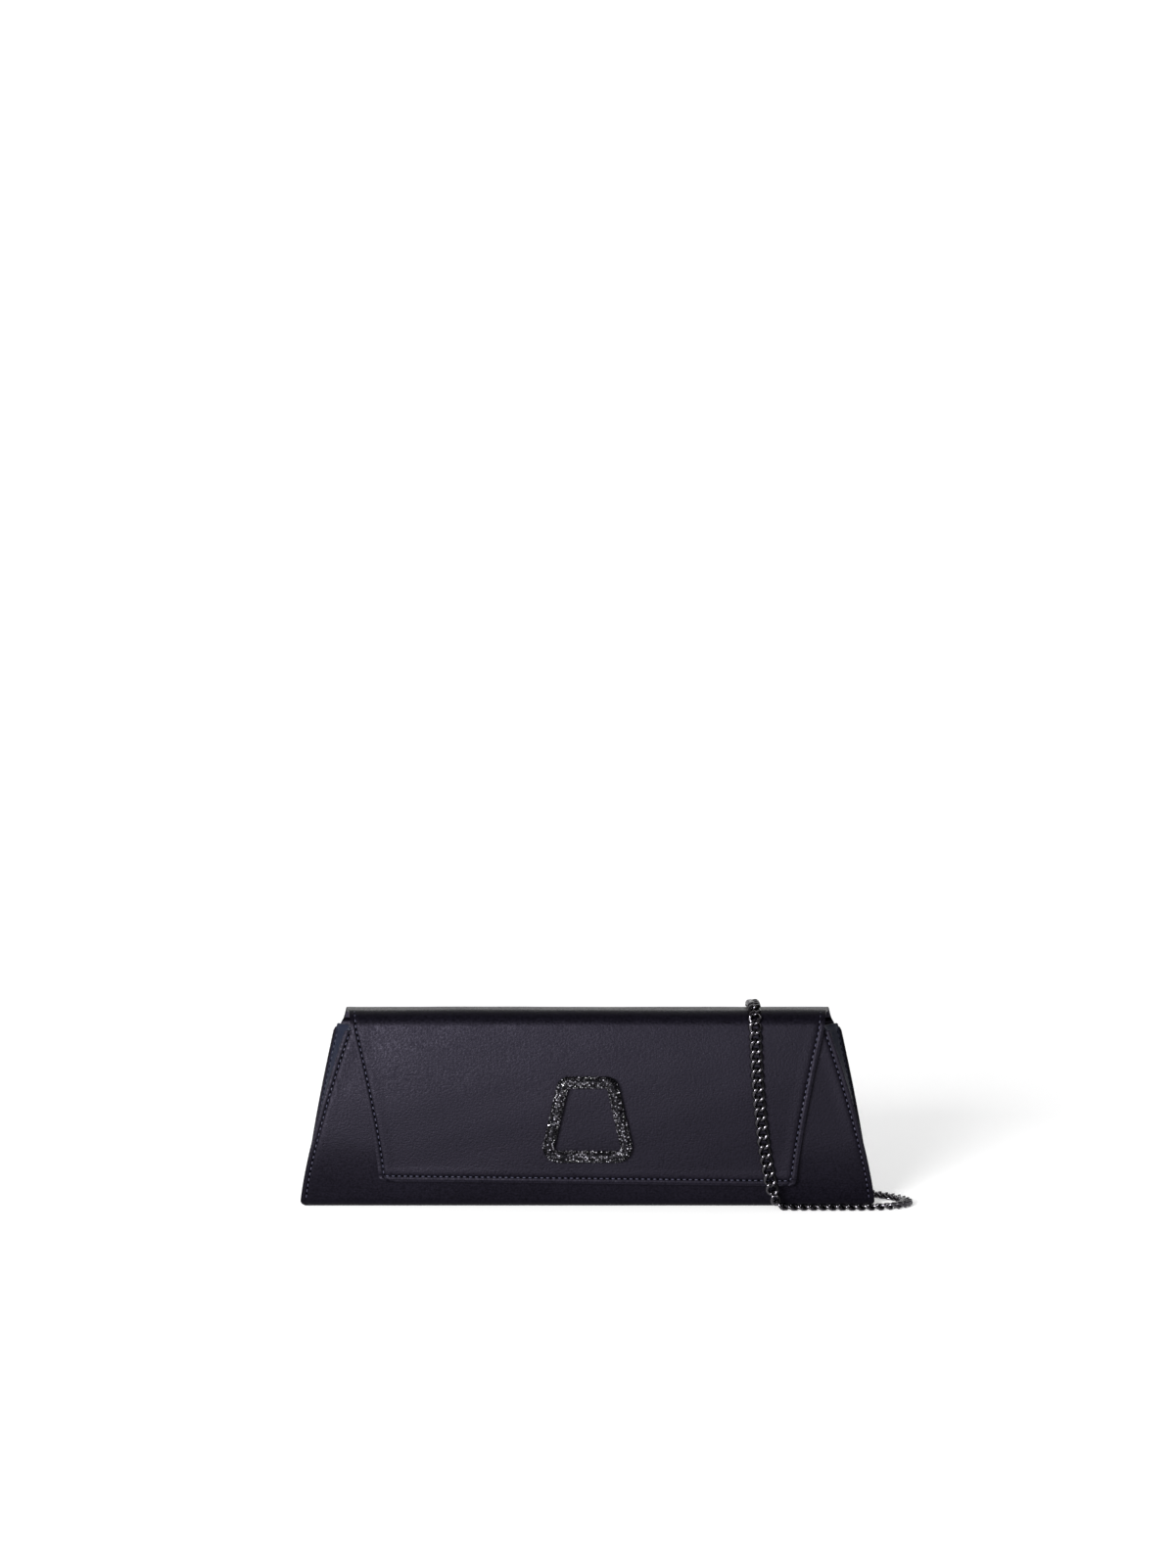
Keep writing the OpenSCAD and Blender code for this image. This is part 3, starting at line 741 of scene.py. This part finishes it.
def make_facing():
    """The flap's inner face, whose folded edge shows a hair behind the satin's."""
    rows = np.concatenate([np.arange(HINGE_AT + 3.5, COVER_LENGTH - 4.5, 2.4),
                           COVER_LENGTH - np.array([4.3, 3.2, 2.3, 1.5, 0.9, 0.45, 0.4])])
    cols = across(FLAP_END_HALF, 50)
    inset = 0.35

    def layer(more):
        grid = cover_surface(rows, cols,
                             lambda s, d: layer_depth(s, d, 1.56, 2.4) + more, False)
        grid[:, :, 0] *= 1 - inset / np.abs(grid[:, :, 0]).max(1)[:, None]
        return grid

    top, under = layer(0), layer(0.6)
    uv = np.stack([top[:, :, 0], np.repeat(rows[:, None], len(cols), 1)], 2)
    facing_piece = soften(closed_sheet("flap_facing", top, under, uv), 0.2, 2)
    finish_piece(facing_piece, LINING, None)
    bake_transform(facing_piece)
    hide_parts("flap_lining")


TURN = ((0, 0.0155, 0.092), (0, 0.00786, 0.09353))
make_cover()
make_facing()


# ---------------------------------------------------------------- front panel and gussets

def front_section():
    line = [(-9.8, 0.05), (-10.6, 0.06), (-11.6, 0.45), (-12.6, 1.35)]
    line += [(-half_depth(z) + 0.08 * max(0, 4 - z), z) for z in np.linspace(2.4, PANEL_TOP, 44)]
    return line


def make_front():
    line = front_section()
    length = line_length(line)
    rows = np.array(sorted(np.arange(0, length - 7.5, 1.6).tolist()
                           + [length - d for d in EDGE_STEPS]))
    cols = across(FRONT_TOP_HALF, 76)
    place, normal = resample(line, rows)
    widest = cols.max()

    def layer(depth, detail):
        grid = np.zeros((len(rows), len(cols), 3))
        for i, s in enumerate(rows):
            half = half_width(place[i][1], FRONT_TOP_HALF)
            x = np.sign(cols) * (half - (widest - np.abs(cols)))
            x = np.where(np.abs(cols) < widest - 7.5, cols * (half - 7.5) / (widest - 7.5), x)
            sink = np.full_like(x, -depth)
            if detail:
                sink += groove(half - np.abs(x))
                fade = np.minimum(1, (half - np.abs(x)) / 8) * min(1, s / 12)
                sink += ripple(x + 40, s, 0.22) * fade
            grid[i, :, 0] = x
            grid[i, :, 1] = place[i][0] - normal[i][0] * sink
            grid[i, :, 2] = place[i][1] - normal[i][1] * sink
        return grid

    top, under = layer(0, True), layer(1.0, False)
    uv = np.stack([top[:, :, 0], np.repeat(rows[:, None], len(cols), 1)], 2)
    front = soften(closed_sheet("front_cover", top, under, uv), 0.3)
    finish_piece(front, SATIN, "bag_body")
    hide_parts("front_panel")


def gusset_point(side, z, t, sink=0.0):
    """A point on a gusset's outer face: t runs from its front edge to its back edge."""
    front = half_width(z, FRONT_TOP_HALF) - 1.5
    back = half_width(z, BACK_TOP_HALF) - 1.3
    depth = half_depth(z) - 1.05
    up = smooth_step((z - 6) / 80)
    fold = 4.2 * up * math.sin(math.pi * t) ** 1.6
    x = front + (back - front) * t - fold - sink
    return (side * x, -depth + 2 * depth * t, z)


def make_gusset(side, name):
    zs = np.concatenate([np.linspace(1.1, 86, 53), [87.6, 88.8, 89.7, 90.4, 90.9]])
    ts = np.concatenate([[0, 0.02, 0.05, 0.08], np.linspace(0.12, 0.88, 22),
                         [0.915, 0.93, 0.945, 0.97, 0.985, 1]])

    def layer(sink, detail):
        grid = np.zeros((len(zs), len(ts), 3))
        for i, z in enumerate(zs):
            for j, t in enumerate(ts):
                lip = (0.25 * math.exp(-((z - 89.6) / 1.2) ** 2)
                       - 0.2 * math.exp(-((z - 87.2) / 0.6) ** 2))
                row = -0.22 * math.exp(-((t - 0.93) / 0.012) ** 2)
                soft = 0.2 * math.sin(z / 9 + 2 * side) * math.sin(math.pi * t)
                grid[i, j] = gusset_point(side, z, t, sink - (lip + row + soft) * detail)
        return grid

    top, under = layer(0, 1), layer(1.15, 0)
    uv = np.stack([top[:, :, 1], top[:, :, 2]], 2)
    gusset = soften(closed_sheet(name + "_leather", top, under, uv), 0.3)
    finish_piece(gusset, LEATHER, "bag_body")
    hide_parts(name)


def tube(name, line, radius, sides=10):
    """A round closed tube along points in mm."""
    line = [Vector(p) for p in line]
    points, faces = [], []
    for i, p in enumerate(line):
        ahead = (line[min(i + 1, len(line) - 1)] - line[max(i - 1, 0)]).normalized()
        side = ahead.cross(Vector((0, 1, 0.03))).normalized()
        up = side.cross(ahead)
        shrink = 0.55 if i in (0, len(line) - 1) else 1
        for k in range(sides):
            a = math.tau * k / sides
            points.append((p + (side * math.cos(a) + up * math.sin(a)) * radius * shrink) * MM)
    for i in range(len(line) - 1):
        for k in range(sides):
            a, b = i * sides + k, i * sides + (k + 1) % sides
            faces.append((a, b, b + sides, a + sides))
    faces.append(tuple(range(sides)))
    faces.append(tuple(reversed(range((len(line) - 1) * sides, len(line) * sides))))
    mesh = bpy.data.meshes.new(name)
    mesh.from_pydata([tuple(p) for p in points], [], faces)
    piece = bpy.data.objects.new(name, mesh)
    bpy.context.collection.objects.link(piece)
    return smooth(outward(piece), 70)


def make_welt(side, name):
    """The bound edge between the gusset and the front panel."""
    line = [(side * (half_width(z, FRONT_TOP_HALF) - 0.7), -half_depth(z) + 1.35, z)
            for z in np.linspace(2.2, 90.2, 60)]
    finish_piece(tube(name, line, 0.75), BINDING, "bag_body")


def make_base():
    clear()
    bpy.ops.mesh.primitive_cube_add(size=1, location=(0, 0, 0.52 * MM))
    base = bpy.context.object
    base.name = "base_cover"
    base.scale = (2 * (BASE_HALF - 2.0) * MM, 21.4 * MM, 1.0 * MM)
    bpy.ops.object.transform_apply(location=True, rotation=False, scale=True)
    finish_piece(soften(base, 0.3), SATIN, "bag_body")
    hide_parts("base_panel")


make_front()
make_base()
for side, which in ((-1, "left"), (1, "right")):
    make_gusset(side, "gusset_" + which)
    make_welt(side, "welt_" + which)


# ---------------------------------------------------------------- stitches

def make_thread():
    """One stitch: a short plump thread whose ends dive into the cloth."""
    clear()
    bpy.ops.mesh.primitive_uv_sphere_add(segments=8, ring_count=6, radius=1)
    thread = bpy.context.object
    thread.name = "thread_model"
    for v in thread.data.vertices:
        x, y, z = v.co
        v.co = Vector((z * 0.92, x * 0.28, y * 0.22 + 0.10 - 0.24 * z * z)) * MM
    return smooth(thread, 80)


# Painted shade: a flat near-black disc sunk into the cloth where the needle went through, in
# place of the shade inside the puncture.
def make_hole_shade():
    clear()
    bpy.ops.mesh.primitive_cylinder_add(vertices=10, radius=0.5 * MM, depth=0.16 * MM)
    hole_shade = bpy.context.object
    hole_shade.name = "hole_shade_model"
    hole_shade.scale = (1.5, 0.95, 1)
    bpy.ops.object.transform_apply(location=False, rotation=False, scale=True)
    return hole_shade


def sew(name, line, away, body=None, turn=None):
    """Stitches every STITCH_PITCH along a line of points in mm, with a dark disc of painted shade
    between each two where the needle pierced the cloth.
    away gives the direction out of the cloth at a point."""
    p = np.array(line, float)
    along = np.concatenate([[0], np.cumsum(np.linalg.norm(np.diff(p, axis=0), axis=1))])

    def at(d):
        return Vector([np.interp(d, along, p[:, k]) for k in range(3)])

    threads, hole_shades = [], []
    d = STITCH_PITCH / 2
    while d < along[-1] - 1:
        for mark, places, rise in ((d, threads, 0.0), (d + STITCH_PITCH / 2, hole_shades, -0.02)):
            middle = at(mark)
            out = Vector(away(middle)).normalized()
            along_row = at(mark + 0.8) - at(mark - 0.8)
            places.append(frame_at((middle + out * rise) * MM, along_row, out))
        d += STITCH_PITCH
    # The second model lays a disc of painted shade at each needle puncture.
    for model, places, kind, material in ((THREAD_MODEL, threads, "_threads", THREAD),
                                          (HOLE_SHADE_MODEL, hole_shades, "_holes", HOLE_SHADE)):
        piece = finish_piece(copies(model, places, name + kind), material, body)
        if turn:
            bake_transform(piece)


def cover_line(s_from, s_to, side, inset):
    marks = np.linspace(s_from, s_to, 120)
    place, normal = resample(SECTION, marks)
    xs = [side * (cover_half(s) - inset) for s in marks]
    return [(x, place[i][0] - normal[i][0] * 0.2, place[i][1] - normal[i][1] * 0.2 + hang(x, s))
            for i, (x, s) in enumerate(zip(xs, marks))]


THREAD_MODEL = make_thread()
HOLE_SHADE_MODEL = make_hole_shade()


def sew_bag():
    start = ROLL_AT - 12
    end = COVER_LENGTH - STITCH_IN
    left = cover_line(start, end - 1.2, -1, STITCH_IN)
    right = cover_line(end - 1.2, start, 1, STITCH_IN)
    (end_y, end_z), = resample(SECTION, [end])[0]
    wide = FLAP_END_HALF - STITCH_IN - 1.2
    bottom = [(x, end_y + 0.2, end_z + hang(x, end)) for x in np.linspace(-wide, wide, 60)]
    middle = Vector((0, -4, 88))

    def off_flap(p):
        if p.z > FLAP_TOP - TURN_R:
            return (0, p.y - middle.y + (6 if p.y < -6 else -2), p.z - middle.z)
        return (0, -1, 0)

    sew("flap_seam", left + bottom + right, off_flap, turn=TURN)
    for side, which in ((-1, "left"), (1, "right")):
        zs = np.linspace(4, PANEL_TOP - 1.5, 90)

        def row(way, top_half, zs):
            return [(side * (half_width(z, top_half) - STITCH_IN), way * (half_depth(z) - 0.2), z)
                    for z in zs]

        sew("front_seam_" + which, row(-1, FRONT_TOP_HALF, zs), lambda p: (0, -1, 0), "bag_body")
        sew("back_seam_" + which, row(1, BACK_TOP_HALF, zs[:-8]), lambda p: (0, 1, 0), "bag_body")
        sew("gusset_seam_" + which, [gusset_point(side, z, 0.93, 0.12) for z in zs],
            lambda p: (math.copysign(1, p.x), -0.5, 0), "bag_body")
    for model in (THREAD_MODEL, HOLE_SHADE_MODEL):
        bpy.data.objects.remove(model)


sew_bag()


# ---------------------------------------------------------------- ornament

FRAME_LOW, FRAME_HIGH, FRAME_Z0, FRAME_Z1 = 20.8, 12.1, 27, 64.6
FRAME_R = (high("ornament_frame")[1] - low("ornament_frame")[1]) / 2
FRAME_Y = (high("ornament_frame")[1] + low("ornament_frame")[1]) / 2
STONE_ROWS, STONES_ROUND = 152, 14


def frame_line():
    """The ornament's centre line, as (x, z) points all round."""
    lean = math.degrees(math.atan((FRAME_LOW - FRAME_HIGH) / (FRAME_Z1 - FRAME_Z0)))

    def corner(z, r, up, start, sweep):
        zc = z - up * r
        half = FRAME_LOW - (FRAME_LOW - FRAME_HIGH) * (zc - FRAME_Z0) / (FRAME_Z1 - FRAME_Z0)
        xc = half - r / math.cos(math.radians(lean))
        return arc_points((xc, zc), r, start, start + sweep, 8)

    right = corner(FRAME_Z0, 4.6, -1, -90, 90 + lean) + corner(FRAME_Z1, 3.6, 1, lean, 90 - lean)
    return right + [(-x, z) for x, z in reversed(right)]


def make_stone():
    """A cut stone: a flat table and seven crown facets."""
    clear()
    bpy.ops.mesh.primitive_cone_add(vertices=7, radius1=0.47 * MM, radius2=0.24 * MM,
                                    depth=0.30 * MM, location=(0, 0, 0.02 * MM))
    bpy.ops.object.transform_apply(location=True, rotation=False, scale=False)
    stone = bpy.context.object
    stone.name = "stone_model"
    return stone


def make_stones():
    line = np.array(frame_line() + frame_line()[:1])
    along = np.concatenate([[0], np.cumsum(np.linalg.norm(np.diff(line, axis=0), axis=1))])
    rng = np.random.default_rng(7)
    stone = make_stone()
    places, tints = [], []
    step = along[-1] / STONE_ROWS
    for i in range(STONE_ROWS):
        here, ahead, behind = ([np.interp((i * step + d) % along[-1], along, line[:, k])
                                for k in range(2)] for d in (0, 0.8, -0.8))
        run = Vector((ahead[0] - behind[0], 0, ahead[1] - behind[1])).normalized()
        out = run.cross(Vector((0, 1, 0)))
        for k in range(STONES_ROUND):
            turn = math.radians(-118 + 236 * (k + 0.5 * (i % 2)) / (STONES_ROUND - 0.5))
            way = Vector((0, -math.cos(turn), 0)) + out * math.sin(turn)
            middle = Vector((here[0], FRAME_Y, here[1])) + way * (FRAME_R + 0.02)
            tilt = Vector(rng.normal(0, 0.07, 3))
            place = frame_at(middle * MM, run, way + tilt)
            spin = Matrix.Rotation(rng.uniform(0, math.tau), 4, "Z")
            places.append(place @ spin @ Matrix.Scale(rng.uniform(0.9, 1.06), 4))
            tints.append(rng.beta(0.15, 3))
    stones = copies(stone, places, "ornament_stones", np.array(tints))
    bpy.data.objects.remove(stone)
    finish_piece(stones, STONE, "flap")


make_stones()


# ---------------------------------------------------------------- tie on the hank

def make_tie():
    """A soft strap round the hank's middle, its free end lapped over the top."""
    top, half = high("chain_tie")[2], (high("chain_tie")[1] - low("chain_tie")[1]) / 2
    mid_y = (high("chain_tie")[1] + low("chain_tie")[1]) / 2
    loop = []
    for cy, cz, start in ((half - 2, top - 2, 0), (2 - half, top - 2, 90),
                          (2 - half, 2.05, 180), (half - 2, 2.05, 270)):
        loop += [(mid_y + y, z) for y, z in arc_points((cy, cz), 2, start, start + 90, 5)]
    loop = loop[3:] + loop[:9]
    lapped = [(y, z + (0.75 if i > len(loop) - 10 else 0)) for i, (y, z) in enumerate(loop)]
    marks = np.linspace(0, line_length(lapped) - 1, 90)
    place, normal = resample(lapped, marks)
    cols = np.array([-4, -3.8, -3.2, -1.5, 0, 1.5, 3.2, 3.8, 4])

    def layer(depth):
        sag = depth - 0.12 * (1 - (cols / 4) ** 2)
        grid = np.zeros((len(marks), len(cols), 3))
        grid[:, :, 0] = cols
        grid[:, :, 1] = place[:, None, 0] - normal[:, None, 0] * sag
        grid[:, :, 2] = place[:, None, 1] - normal[:, None, 1] * sag
        return grid

    uv = np.stack([np.tile(cols, (len(marks), 1)), np.repeat(marks[:, None], len(cols), 1)], 2)
    strap = soften(closed_sheet("hank_strap", layer(0.05), layer(0.6), uv), 0.12, 2)
    finish_piece(strap, LINING, "bag_body")
    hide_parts("chain_tie")


make_tie()


# ---------------------------------------------------------------- finishes on the hard parts

def finish_cad():
    kinds = {
        GUNMETAL: ("d_ring", "jump_ring", "_body", "_gate"),
        STEEL: ("_rivet", "_spring", "magnet", "posts", "washers"),
        BED: ("ornament_frame",),
        BOARD: ("_board",),
        LINING: ("_lining", "slip_pocket"),
        SATIN: ("ring_tab", "base_panel", "_panel"),
        LEATHER: ("gusset",),
    }
    for name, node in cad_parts.items():
        if name.startswith("chain"):
            continue
        material = next((m for m, words in kinds.items() if any(w in name for w in words)), SATIN)
        node.data.materials.clear()
        node.data.materials.append(material)
        if material in (GUNMETAL, STEEL):
            smooth(node, 35)


finish_cad()


# ---------------------------------------------------------------- studio

def make_floor():
    """A pale floor that sweeps up into a backdrop far behind."""
    section = [(-2.2, 0), (2.0, 0)] + [(2.0 + 1.2 * math.sin(a), 1.2 - 1.2 * math.cos(a))
                                       for a in np.linspace(0.1, math.pi / 2, 16)] + [(3.2, 4)]
    points = [(x, y, z) for y, z in section for x in (-3.5, 3.5)]
    faces = [(2 * i, 2 * i + 1, 2 * i + 3, 2 * i + 2) for i in range(len(section) - 1)]
    mesh = bpy.data.meshes.new("floor")
    mesh.from_pydata(points, [], faces)
    floor = bpy.data.objects.new("floor", mesh)
    bpy.context.collection.objects.link(floor)
    smooth(floor, 60)
    finish = Finish("pale_floor", (0.93, 0.93, 0.93), Roughness=0.9, Emission_Strength=0.28)
    finish.shader.inputs["Emission Color"].default_value = (1, 1, 1, 1)
    floor.data.materials.append(finish.material)


def make_light(name, place, aim, size, power, tall=None):
    data = bpy.data.lights.new(name, "AREA")
    data.shape = "RECTANGLE"
    data.size, data.size_y = size, tall or size
    data.energy = power
    lamp = bpy.data.objects.new(name, data)
    bpy.context.collection.objects.link(lamp)
    lamp.location = place
    lamp.rotation_euler = (Vector(aim) - Vector(place)).to_track_quat("-Z", "Y").to_euler()


def make_studio():
    make_floor()
    world = bpy.data.worlds.new("studio") if bpy.context.scene.world is None \
        else bpy.context.scene.world
    bpy.context.scene.world = world
    world.use_nodes = True
    back = world.node_tree.nodes["Background"]
    back.inputs["Color"].default_value = (1, 1, 1, 1)
    back.inputs["Strength"].default_value = 0.20
    make_light("key", (-0.50, -1.52, 0.34), (0, 0, 0.06), 0.5, 68, 0.36)
    make_light("front_fill", (0.0, -1.7, 0.27), (0, 0, 0.06), 1.2, 13, 0.45)
    make_light("overhead_back", (0, 1.0, 1.8), (0, 0.8, 0), 3.2, 7, 1.5)
    make_light("backdrop_wash", (0, 1.3, 2.6), (0, 3.2, 0.9), 4, 28, 0.6)
    bpy.context.scene.view_settings.view_transform = "Standard"


make_studio()
